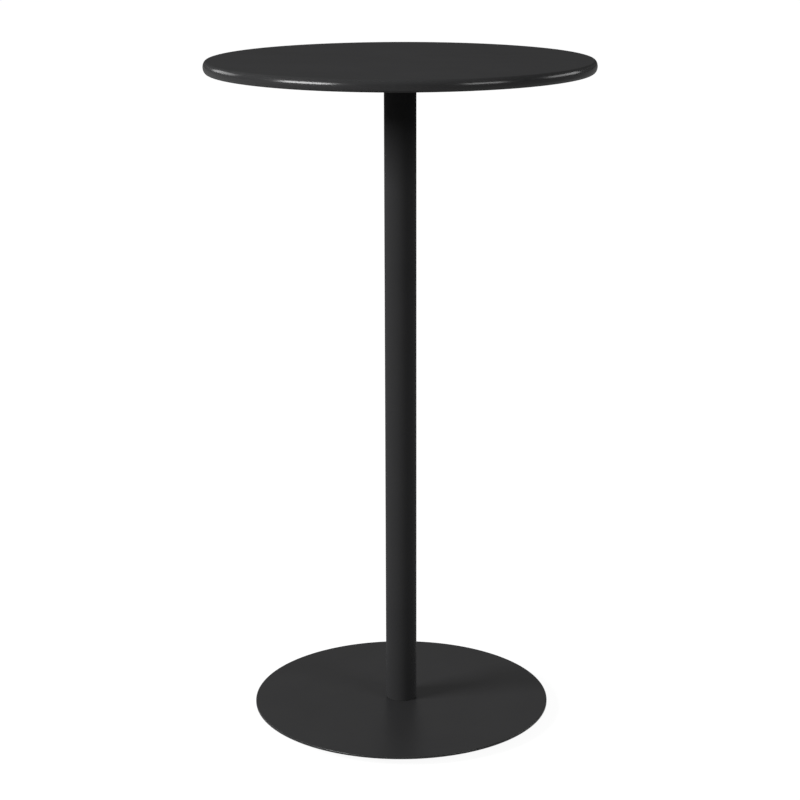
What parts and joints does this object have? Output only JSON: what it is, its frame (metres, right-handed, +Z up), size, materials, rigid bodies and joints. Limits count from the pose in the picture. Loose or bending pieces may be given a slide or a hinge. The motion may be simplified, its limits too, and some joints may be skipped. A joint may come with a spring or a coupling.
{
  "type": "bar table",
  "caption": "Bar-height pedestal table: round board with a softly bowed edge on a slim tubular column and a weighted disc base that stands on screw-adjusted levelling glides.",
  "frame": {"origin": "on the floor under the middle of the column", "axes": "+Z up along the column, -Y towards the viewer of the picture, +X to the viewer's right"},
  "size_m": [0.5999, 0.6, 1.06],
  "materials": {
    "black_lacquer": "satin",
    "black_powder_coat": "satin",
    "ballast_iron": "matte",
    "zinc_steel": "satin",
    "black_nylon": "matte"
  },
  "bodies": {
    "table": {"top_board": "black_lacquer", "insert_nuts": "zinc_steel", "arm_washers": "zinc_steel", "arm_screws": "zinc_steel", "spider_hub": "black_powder_coat", "column_tube": "black_powder_coat", "tie_rod": "zinc_steel", "top_tie_washer": "zinc_steel", "top_tie_nut": "zinc_steel", "bottom_tie_washer": "zinc_steel", "bottom_tie_nut": "zinc_steel", "base_cover": "black_powder_coat", "ballast_plate": "ballast_iron", "spider_arm_front_right": "black_powder_coat", "spider_arm_back_right": "black_powder_coat", "spider_arm_back_left": "black_powder_coat", "spider_arm_front_left": "black_powder_coat"},
    "glide_pad_front_right": {"glide_pad_front_right": "black_nylon"},
    "glide_stud_front_right": {"glide_stud_front_right": "zinc_steel"},
    "glide_pad_back_right": {"glide_pad_back_right": "black_nylon"},
    "glide_stud_back_right": {"glide_stud_back_right": "zinc_steel"},
    "glide_pad_back_left": {"glide_pad_back_left": "black_nylon"},
    "glide_stud_back_left": {"glide_stud_back_left": "zinc_steel"},
    "glide_pad_front_left": {"glide_pad_front_left": "black_nylon"},
    "glide_stud_front_left": {"glide_stud_front_left": "zinc_steel"}
  },
  "joints": [
    {"name": "level_front_right", "type": "slide", "parent": "table", "child": "glide_pad_front_right", "axis": [0, 0, 1], "range_m": [-0.0025, 0.00125]},
    {"name": "turn_front_right", "type": "hinge", "parent": "glide_pad_front_right", "child": "glide_stud_front_right", "pos_m": [0.14001, -0.14001, 0], "axis": [0, 0, 1], "range_deg": [-720, 360]},
    {"name": "level_back_right", "type": "slide", "parent": "table", "child": "glide_pad_back_right", "axis": [0, 0, 1], "range_m": [-0.0025, 0.00125]},
    {"name": "turn_back_right", "type": "hinge", "parent": "glide_pad_back_right", "child": "glide_stud_back_right", "pos_m": [0.14001, 0.14001, 0], "axis": [0, 0, 1], "range_deg": [-720, 360]},
    {"name": "level_back_left", "type": "slide", "parent": "table", "child": "glide_pad_back_left", "axis": [0, 0, 1], "range_m": [-0.0025, 0.00125]},
    {"name": "turn_back_left", "type": "hinge", "parent": "glide_pad_back_left", "child": "glide_stud_back_left", "pos_m": [-0.14001, 0.14001, 0], "axis": [0, 0, 1], "range_deg": [-720, 360]},
    {"name": "level_front_left", "type": "slide", "parent": "table", "child": "glide_pad_front_left", "axis": [0, 0, 1], "range_m": [-0.0025, 0.00125]},
    {"name": "turn_front_left", "type": "hinge", "parent": "glide_pad_front_left", "child": "glide_stud_front_left", "pos_m": [-0.14001, -0.14001, 0], "axis": [0, 0, 1], "range_deg": [-720, 360]}
  ],
  "couplings": [
    {"joint": "level_front_right", "follows": "turn_front_right", "m_per_rad": 0.00019894},
    {"joint": "level_back_right", "follows": "turn_back_right", "m_per_rad": 0.00019894},
    {"joint": "level_back_left", "follows": "turn_back_left", "m_per_rad": 0.00019894},
    {"joint": "level_front_left", "follows": "turn_front_left", "m_per_rad": 0.00019894}
  ]
}
